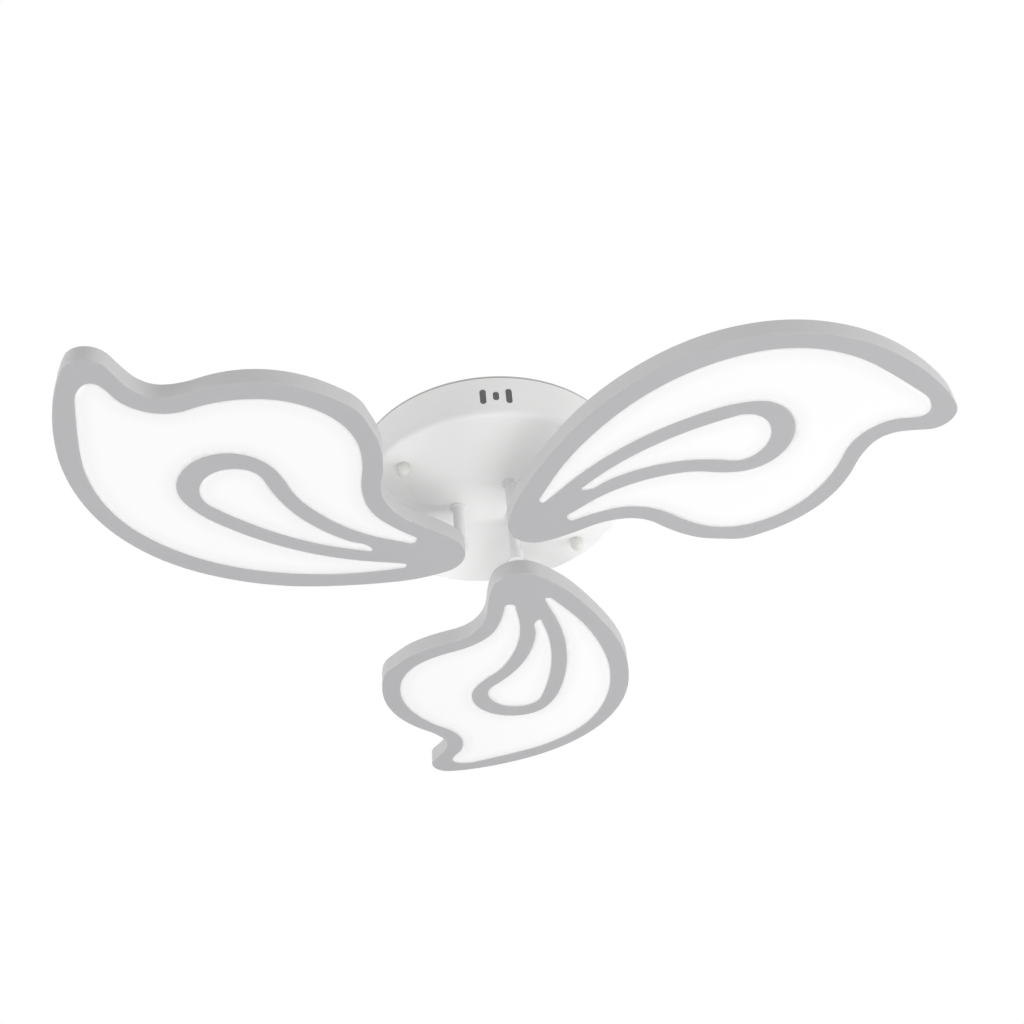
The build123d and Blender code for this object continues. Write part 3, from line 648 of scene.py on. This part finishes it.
refinish("cap_nuts", powder_coat(
    "cap_nut_satin_nickel", CAP_NUT_COLOR, CAP_NUT_ROUGHNESS, CAP_NUT_CLOUDS))


# LED driver
# Moulded box with a snapped-on lid, two ears under the stud nuts, and a bushing round each lead.

DRIVER_COLOR = (0.78, 0.78, 0.75)
DRIVER_ROUGHNESS = 0.55
DRIVER_GRAIN = 1500.0
DRIVER_EAR = 0.008
TOP_ROUND = 0.002
SIDE_ROUND = 0.0026
LEAST_ROUND = 0.0001
LID_SEAM = 0.0150
SEAM_WIDTH = 0.0005
SEAM_DEPTH = 0.0004
EAR_THICK = 0.002
EAR_HALF = 0.006
EAR_HOLE = 0.0017
EAR_HOLE_SIDES = 24
EAR_HOLE_REACH = 1.01
BUSHING_GAP = 0.00012
BUSHING_WALL = 0.0006
BUSHING_FLANGE = 0.0012
BUSHING_FLANGE_THICK = 0.0009
BUSHING_LENGTH = 0.0036
END_REACH = 0.0003
MOTTLE_SCALE = 45.0
MOTTLE_SHADE = 0.93
MOULD_DEPTH = 0.00008


def moulded_plastic(name, color, roughness, grain):
    """Moulded plastic: slight mottling and a spark-eroded grain."""
    return finish(
        name, ("ShaderNodeTexNoise", MOTTLE_SCALE, EVEN, "Fac"),
        ("ShaderNodeTexNoise", grain, EVEN, "Fac"),
        [(0.2, shaded(color, MOTTLE_SHADE)), (0.8, color)],
        (roughness - 0.05, roughness + 0.05), MOULD_DEPTH)


def rounded_box(shape, middle, half_x, half_y, corner, levels, steps=5):
    """Closed box of rounded rings: levels are (height, inset) pairs from the bottom up."""
    rings = []
    for height, inset in levels:
        ring = []
        round_now = max(corner - inset, LEAST_ROUND)
        for quarter in range(4):
            angle = quarter * math.pi / 2
            side_x = 1 if quarter in (0, 3) else -1
            side_y = 1 if quarter in (0, 1) else -1
            for step in range(steps + 1):
                turn = angle + step / steps * math.pi / 2
                ring.append(shape.verts.new((
                    middle[0] + side_x * (half_x - inset - round_now) + round_now * math.cos(turn),
                    middle[1] + side_y * (half_y - inset - round_now) + round_now * math.sin(turn),
                    height)))
        rings.append(ring)
    for lower, upper in zip(rings, rings[1:]):
        for number in range(len(lower)):
            after = (number + 1) % len(lower)
            shape.faces.new((lower[number], lower[after], upper[after], upper[number]))
    shape.faces.new(list(reversed(rings[0])))
    shape.faces.new(rings[-1])


def turned(shape, profile, place, direction, sides=24):
    """Ring turned from a closed profile of (radius, distance) points about an axis."""
    turn = Vector(direction).to_track_quat("Z", "Y").to_matrix()
    rings = []
    for number in range(sides):
        angle = number / sides * math.tau
        ring = []
        for radius, distance in profile:
            spot = Vector((radius * math.cos(angle), radius * math.sin(angle), distance))
            ring.append(shape.verts.new(Vector(place) + turn @ spot))
        rings.append(ring)
    for number, ring in enumerate(rings):
        after = rings[(number + 1) % sides]
        for k in range(len(profile)):
            following = (k + 1) % len(profile)
            shape.faces.new((ring[k], after[k], after[following], ring[following]))


def piece_from(shape, name, *materials):
    """Object of a finished bmesh, with its normals set outwards."""
    bmesh.ops.recalc_face_normals(shape, faces=shape.faces)
    mesh = bpy.data.meshes.new(name)
    shape.to_mesh(mesh)
    shape.free()
    for material in materials:
        mesh.materials.append(material)
    return mesh_piece(name, mesh)


driver_low, driver_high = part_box("led_driver")
driver_middle = ((driver_low[0] + driver_high[0]) / 2, (driver_low[1] + driver_high[1]) / 2)
case_half_x = (driver_high[0] - driver_low[0]) / 2 - DRIVER_EAR
case_half_y = (driver_high[1] - driver_low[1]) / 2
base = driver_low[2]
top = driver_high[2]
shape = bmesh.new()
top_edge = [(top - TOP_ROUND * (1 - math.sin(turn)), TOP_ROUND * (1 - math.cos(turn)))
            for turn in (0, math.pi / 8, math.pi / 4, 3 * math.pi / 8, math.pi / 2)]
seam = base + LID_SEAM
rounded_box(shape, driver_middle, case_half_x, case_half_y, SIDE_ROUND, [
    (base, 0.0), (seam, 0.0), (seam, SEAM_DEPTH), (seam + SEAM_WIDTH, SEAM_DEPTH),
    (seam + SEAM_WIDTH, 0.0), *top_edge])
hole_turns = np.arange(EAR_HOLE_SIDES) / EAR_HOLE_SIDES * math.tau
hole = [(EAR_HOLE * math.cos(turn), EAR_HOLE * math.sin(turn)) for turn in hole_turns]
outer = [(-DRIVER_EAR / 2, -EAR_HALF), (DRIVER_EAR / 2, -EAR_HALF),
         (DRIVER_EAR / 2, EAR_HALF), (-DRIVER_EAR / 2, EAR_HALF)]
edges = []
for ring_start, count in ((0, len(outer)), (len(outer), len(hole))):
    edges += [(ring_start + k, ring_start + (k + 1) % count) for k in range(count)]
corners = [Vector(spot) for spot in outer + hole]
spots, _, faces, _, _, _ = delaunay_2d_cdt(corners, edges, [], 2, MERGE_GAP)
for side in (-1, 1):
    ear = (driver_middle[0] + side * (case_half_x + DRIVER_EAR / 2), driver_middle[1])
    lower = [shape.verts.new((ear[0] + spot.x, ear[1] + spot.y, base)) for spot in spots]
    upper = [shape.verts.new((ear[0] + spot.x, ear[1] + spot.y, base + EAR_THICK)) for spot in spots]
    for face in faces:
        if any(spots[k].length >= EAR_HOLE * EAR_HOLE_REACH for k in face):
            shape.faces.new([lower[k] for k in reversed(face)])
            shape.faces.new([upper[k] for k in face])
    for first, second in edges:
        shape.faces.new((lower[first], lower[second], upper[second], upper[first]))
for node, side in (("driver_output_leads", 1), ("driver_input_leads", -1)):
    wall = driver_middle[0] + side * case_half_x
    leads = merged_copy(node)
    for group in islands(leads):
        ring = [vert.co for vert in group if abs(vert.co.x - wall) < END_REACH
                and abs(vert.co.y - driver_middle[1]) < case_half_y]
        middle = sum(ring, Vector()) / len(ring)
        bore = max((spot - middle).length for spot in ring) + BUSHING_GAP
        flange = bore + BUSHING_FLANGE
        sleeve = bore + BUSHING_WALL
        profile = [
            (bore, 0), (flange, 0), (flange, BUSHING_FLANGE_THICK),
            (sleeve, BUSHING_FLANGE_THICK), (sleeve, BUSHING_LENGTH), (bore, BUSHING_LENGTH)]
        turned(shape, profile, (wall, middle.y, middle.z), (side, 0, 0))
    leads.free()
case_plastic = moulded_plastic("driver_case", DRIVER_COLOR, DRIVER_ROUGHNESS, DRIVER_GRAIN)
piece = piece_from(shape, "led_driver_case", case_plastic)
stand_in(piece, "led_driver", "canopy")


# Terminal block
# Moulded nylon, held by a nut in its middle well, with a brass clamp screw in each outer well.

NYLON_COLOR = (0.70, 0.68, 0.60)
NYLON_ROUGHNESS = 0.42
NYLON_GRAIN = 700.0
BRASS_COLOR = (0.66, 0.56, 0.36)
BRASS_ROUGHNESS = 0.3
DRAWN_ALONG_X = (0.1, 1, 1)
CLAMP_PITCH = 0.010
CLAMP_SINK = 0.0038
CLAMP_SIZES = {
    "Head Radius": 0.00145, "Head Height": 0.0012, "Crown": 0.0001,
    "Recess Length": 0.0034, "Recess Width": 0.0005, "Recess Depth": 0.0006,
    "Shank Radius": 0.0008, "Shank Length": 0.0001}

refinish("terminal_block", moulded_plastic("terminal_nylon", NYLON_COLOR, NYLON_ROUGHNESS, NYLON_GRAIN))
turned_brass = plated_metal("turned_brass", BRASS_COLOR, BRASS_ROUGHNESS, DRAWN_ALONG_X)
refinish("earth_tag", turned_brass)
block_low, block_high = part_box("terminal_block")
middle_x = (block_low[0] + block_high[0]) / 2
middle_y = (block_low[1] + block_high[1]) / 2
clamp_level = block_high[2] - CLAMP_SINK
clamp_spots = [(middle_x + side * CLAMP_PITCH, middle_y, clamp_level) for side in (-1, 1)]
clamps = grow("terminal_clamp_screws", screw_tree, clamp_spots, CLAMP_SIZES, turned_brass)
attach(clamps, "canopy")


# Leads inside the canopy
# PVC insulated cores, drawn smooth: line brown, neutral blue, earth green with a yellow stripe,
# and white sheathed leads from the driver to the stems.

LINE_BROWN = (0.13, 0.055, 0.03)
NEUTRAL_BLUE = (0.03, 0.10, 0.30)
EARTH_GREEN = (0.03, 0.22, 0.05)
EARTH_YELLOW = (0.75, 0.60, 0.04)
SHEATH_WHITE = (0.74, 0.74, 0.71)
PVC_ROUGHNESS = 0.38
SHEATH_ROUGHNESS = 0.36
PVC_GRAIN = 300.0
STRIPE_HALF = 0.00032

shape = merged_copy("driver_input_leads")
for number, color in enumerate((LINE_BROWN, NEUTRAL_BLUE)):
    core = shape.copy()
    groups = islands(core)
    groups.sort(key=lambda group: group_box(group)[0][2])
    bmesh.ops.delete(core, geom=groups[1 - number], context="VERTS")
    name = ("line_core", "neutral_core")[number]
    piece = piece_from(core, name, moulded_plastic(name + "_pvc", color, PVC_ROUGHNESS, PVC_GRAIN))
    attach(piece, "canopy")
    if number == 0:
        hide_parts("driver_input_leads")
shape.free()
white_sheath = moulded_plastic("white_sheath", SHEATH_WHITE, SHEATH_ROUGHNESS, PVC_GRAIN)
refinish("driver_output_leads", white_sheath)

striped, tree, output = new_material("earth_core_pvc")
shader = add(tree, "ShaderNodeBsdfPrincipled", Roughness=PVC_ROUGHNESS)
place = tree.nodes.new("ShaderNodeTexCoord")
spot = tree.nodes.new("ShaderNodeSeparateXYZ")
tree.links.new(place.outputs["Object"], spot.inputs[0])
lead_low, lead_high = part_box("earth_lead")
off_middle = math_node(tree, "SUBTRACT", spot.outputs["Y"], (lead_low[1] + lead_high[1]) / 2)
stripe = math_node(tree, "LESS_THAN", math_node(tree, "ABSOLUTE", off_middle, 0.0), STRIPE_HALF)
tint = color_ramp(tree, (0.45, EARTH_GREEN), (0.55, EARTH_YELLOW))
tree.links.new(stripe, tint.inputs["Fac"])
tree.links.new(tint.outputs["Color"], shader.inputs["Base Color"])
tree.links.new(shader.outputs[0], output.inputs["Surface"])
refinish("earth_lead", striped)


# Stems and feet
# Drawn steel tube with a brazed collar, and a zinc casting on the leaf's back, both powder
# coated white. The lead in the bore has the white sheath.

STEM_COLOR = (0.80, 0.80, 0.80)
STEM_ROUGHNESS = 0.42

stem_paint = powder_coat("stem_powder_coat", STEM_COLOR, STEM_ROUGHNESS)
for head in HEADS:
    refinish(f"stem_{head}", stem_paint)
    refinish(f"stem_foot_{head}", stem_paint)
    refinish(f"petal_lead_{head}", white_sheath)


# Leaf frames and back plates
# Cast frame with the two windows, powder coated matt grey, with painted light that makes its upright
# walls lighter than its flat face, and a white sheet steel plate behind it.

FACE_COLOR = (0.42, 0.42, 0.43)
PAINTED_LIGHT_WALL_COLOR = (0.56, 0.56, 0.565)
LEAF_ROUGHNESS = 0.5
BACK_COLOR = (0.85, 0.85, 0.85)
BACK_ROUGHNESS = 0.55
WALL_BELOW = 0.3
FLAT_ABOVE = 0.85


def painted_wall_light_coat(name, face_color, lit_wall_color, roughness):
    """Powder coat with painted light: the upright walls are painted lighter than the flat faces."""
    material = powder_coat(name, face_color, roughness)
    tree = material.node_tree
    shader = tree.nodes["Principled BSDF"]
    clouds = shader.inputs["Base Color"].links[0].from_socket
    side = tree.nodes.new("ShaderNodeNewGeometry")
    facing = tree.nodes.new("ShaderNodeSeparateXYZ")
    tree.links.new(side.outputs["Normal"], facing.inputs[0])
    flat = math_node(tree, "ABSOLUTE", facing.outputs["Z"], 0.0)
    share = add(tree, "ShaderNodeMapRange", From_Min=WALL_BELOW, From_Max=FLAT_ABOVE,
                To_Min=1.0, To_Max=0.0)
    # Painted light: the upright walls, found by their normal, get a lighter colour than the flat faces.
    lighter = tree.nodes.new("ShaderNodeMix")
    lighter.data_type = "RGBA"
    lighter.blend_type = "MULTIPLY"
    ratio = [wall / face for wall, face in zip(lit_wall_color, face_color)]
    lighter.inputs[7].default_value = (*ratio, 1)
    tree.links.new(flat, share.inputs["Value"])
    tree.links.new(share.outputs["Result"], lighter.inputs[0])
    tree.links.new(clouds, lighter.inputs[6])
    tree.links.new(lighter.outputs[2], shader.inputs["Base Color"])
    return material


leaf_paint = painted_wall_light_coat("leaf_powder_coat", FACE_COLOR, PAINTED_LIGHT_WALL_COLOR, LEAF_ROUGHNESS)
back_paint = powder_coat("back_powder_coat", BACK_COLOR, BACK_ROUGHNESS)
for head in HEADS:
    refinish(f"petal_frame_{head}", leaf_paint)
    refinish(f"petal_back_{head}", back_paint)


# Opal lenses
# Satin opal acrylic, lit from behind. The light falls off a little towards the painted bands, so
# the front is a dense mesh that knows how far each point is from the window's rim.

LENS_COLOR = (0.50, 0.50, 0.50, 1)
LENS_ROUGHNESS = 0.35
LENS_RECESS = 0.0003
LENS_STEP = 0.004
RIM_CLEARANCE = LENS_STEP * 0.45
SEAM_GAP = 2e-6
FLAT_WITHIN = 2e-5
HAZE_SCALE = 260.0
HAZE_DETAIL = 3.0
HAZE_DEPTH = 0.00002
HAZE_STRENGTH = 0.4
GLOW_AT_RIM = 0.355
GLOW_INSIDE = 0.40
GLOW_FALL = 0.016


def rim_distance(spots, starts, ends):
    """Distance from each spot to the nearest of the rim's straight pieces."""
    runs = ends - starts
    length = np.maximum((runs ** 2).sum(axis=1), 1e-14)
    offset = spots[:, None, :] - starts[None, :, :]
    share = np.clip((offset * runs[None]).sum(axis=2) / length, 0, 1)
    return np.linalg.norm(offset - share[..., None] * runs[None], axis=2).min(axis=1)


def inside_rim(spots, starts, ends):
    """Whether each spot lies inside the closed rim."""
    crosses = (starts[None, :, 1] > spots[:, 1, None]) != (ends[None, :, 1] > spots[:, 1, None])
    rise = np.where(ends[:, 1] == starts[:, 1], 1e-12, ends[:, 1] - starts[:, 1])
    level = starts[:, 0] + (spots[:, 1, None] - starts[:, 1]) * (ends[:, 0] - starts[:, 0]) / rise
    return (crosses & (spots[:, 0, None] < level)).sum(axis=1) % 2 == 1


def lit_lens(name, node, head):
    """Copy of a CAD lens whose front is a dense mesh with each point's distance from the rim."""
    plane = leaf_plane(head)
    shape = merged_copy(node)
    layer = shape.verts.layers.float.new("rim_distance")
    shape.transform(plane.inverted())
    bmesh.ops.remove_doubles(shape, verts=shape.verts, dist=SEAM_GAP)
    front = [face for face in shape.faces
             if max(abs(vert.co.z - LENS_RECESS) for vert in face.verts) < FLAT_WITHIN]
    bmesh.ops.delete(shape, geom=front, context="FACES_ONLY")
    rim_edges = [edge for edge in shape.edges if edge.is_boundary]
    loose = [edge for edge in shape.edges if not edge.link_faces]
    bmesh.ops.delete(shape, geom=loose, context="EDGES")
    rim_verts = list({vert for edge in rim_edges for vert in edge.verts})
    rim_verts.sort(key=lambda vert: (round(vert.co.x, 7), round(vert.co.y, 7)))
    number = {vert: k for k, vert in enumerate(rim_verts)}
    rim = np.array([(vert.co.x, vert.co.y) for vert in rim_verts])
    pairs = [(number[edge.verts[0]], number[edge.verts[1]]) for edge in rim_edges]
    starts = rim[[pair[0] for pair in pairs]]
    ends = rim[[pair[1] for pair in pairs]]
    low, high = rim.min(axis=0), rim.max(axis=0)
    rows = np.arange(low[1], high[1], LENS_STEP * math.sqrt(3) / 2)
    columns = np.arange(low[0], high[0], LENS_STEP)
    grid = np.array([
        (x + LENS_STEP / 2 * (row % 2), y) for row, y in enumerate(rows) for x in columns])
    grid = grid[inside_rim(grid, starts, ends)]
    grid = grid[rim_distance(grid, starts, ends) > RIM_CLEARANCE]
    spots = [Vector(spot) for spot in np.vstack([rim, grid])]
    points, _, faces, origins, _, _ = delaunay_2d_cdt(spots, pairs, [], 1, 1e-8)
    flat = np.array([(point.x, point.y) for point in points])
    far = rim_distance(flat, starts, ends)
    verts = []
    for k, point in enumerate(points):
        source = [origin for origin in origins[k] if origin < len(rim_verts)]
        vert = rim_verts[source[0]] if source else shape.verts.new((point.x, point.y, LENS_RECESS))
        vert[layer] = far[k]
        verts.append(vert)
    for face in faces:
        corners = [verts[k] for k in face]
        if len(set(corners)) == 3:
            shape.faces.new(corners)
    shape.transform(plane)
    return piece_from(shape, name, opal)


opal, tree, output = new_material("opal_acrylic")
shader = add(tree, "ShaderNodeBsdfPrincipled", Base_Color=LENS_COLOR, Emission_Color=(1, 1, 1, 1))
place = tree.nodes.new("ShaderNodeTexCoord")
haze = add(tree, "ShaderNodeTexNoise", Scale=HAZE_SCALE, Detail=HAZE_DETAIL)
satin = add(tree, "ShaderNodeMapRange", To_Min=LENS_ROUGHNESS - 0.05, To_Max=LENS_ROUGHNESS + 0.08)
relief = add(tree, "ShaderNodeBump", Distance=HAZE_DEPTH, Strength=HAZE_STRENGTH)
rim = tree.nodes.new("ShaderNodeAttribute")
rim.attribute_name = "rim_distance"
glow = add(tree, "ShaderNodeMapRange", From_Max=GLOW_FALL, To_Min=GLOW_AT_RIM, To_Max=GLOW_INSIDE)
glow.interpolation_type = "SMOOTHERSTEP"
tree.links.new(place.outputs["Object"], haze.inputs["Vector"])
tree.links.new(haze.outputs["Fac"], satin.inputs["Value"])
tree.links.new(satin.outputs["Result"], shader.inputs["Roughness"])
tree.links.new(haze.outputs["Fac"], relief.inputs["Height"])
tree.links.new(relief.outputs["Normal"], shader.inputs["Normal"])
tree.links.new(rim.outputs["Fac"], glow.inputs["Value"])
tree.links.new(glow.outputs["Result"], shader.inputs["Emission Strength"])
tree.links.new(shader.outputs[0], output.inputs["Surface"])
for head in HEADS:
    for window in ("crescent", "drop"):
        piece = lit_lens(f"{window}_lens_lit_{head}", f"{window}_lens_{head}", head)
        stand_in(piece, f"{window}_lens_{head}", f"light_head_{head}")


# Lit stack inside a leaf
# Clear acrylic plate with printed dots, white sheet behind it, and a strip of LEDs round its
# edge. None of it shows while the leaf is closed.

GUIDE_TINT = (0.9, 0.95, 0.94, 1)
GUIDE_IOR = 1.49
DOT_SCALE = 420.0
DOT_EDGE = (0.18, 0.26)
DOT_ROUGHNESS = 0.6
CLEAR_ROUGHNESS = 0.04
SHEET_COLOR = (0.9, 0.9, 0.9)
SHEET_ROUGHNESS = 0.6
SHEET_GRAIN = 400.0
PAD_COPPER = (0.72, 0.55, 0.30)
PAD_SCALE = 260.0
BOARD_WHITE = (0.82, 0.82, 0.78)
BOARD_ROUGHNESS = (0.35, 0.5)
BOARD_GRAIN = 700.0
BOARD_DEPTH = 0.00003
PHOSPHOR_COLOR = (0.85, 0.72, 0.30)
PHOSPHOR_ROUGHNESS = 0.3
PHOSPHOR_GRAIN = 900.0

clear, tree, output = new_material("clear_acrylic")
shader = add(tree, "ShaderNodeBsdfPrincipled", Base_Color=GUIDE_TINT, Transmission_Weight=1.0,
             IOR=GUIDE_IOR)
place = tree.nodes.new("ShaderNodeTexCoord")
dots = add(tree, "ShaderNodeTexVoronoi", Scale=DOT_SCALE, Randomness=0.0)
frosted = add(tree, "ShaderNodeMapRange", From_Min=DOT_EDGE[0], From_Max=DOT_EDGE[1],
              To_Min=DOT_ROUGHNESS, To_Max=CLEAR_ROUGHNESS)
tree.links.new(place.outputs["Object"], dots.inputs["Vector"])
tree.links.new(dots.outputs["Distance"], frosted.inputs["Value"])
tree.links.new(frosted.outputs["Result"], shader.inputs["Roughness"])
tree.links.new(shader.outputs[0], output.inputs["Surface"])
sheet_white = moulded_plastic("reflector_white", SHEET_COLOR, SHEET_ROUGHNESS, SHEET_GRAIN)
strip_white = finish(
    "strip_board", ("ShaderNodeTexVoronoi", PAD_SCALE, EVEN, "Distance"),
    ("ShaderNodeTexNoise", BOARD_GRAIN, EVEN, "Fac"),
    [(0.1, PAD_COPPER), (0.16, BOARD_WHITE)], BOARD_ROUGHNESS, BOARD_DEPTH)
package = moulded_plastic("led_package", PHOSPHOR_COLOR, PHOSPHOR_ROUGHNESS, PHOSPHOR_GRAIN)
for head in HEADS:
    refinish(f"light_guide_{head}", clear)
    refinish(f"reflector_sheet_{head}", sheet_white)
    refinish(f"led_strip_{head}", strip_white)
    refinish(f"led_chips_{head}", package)
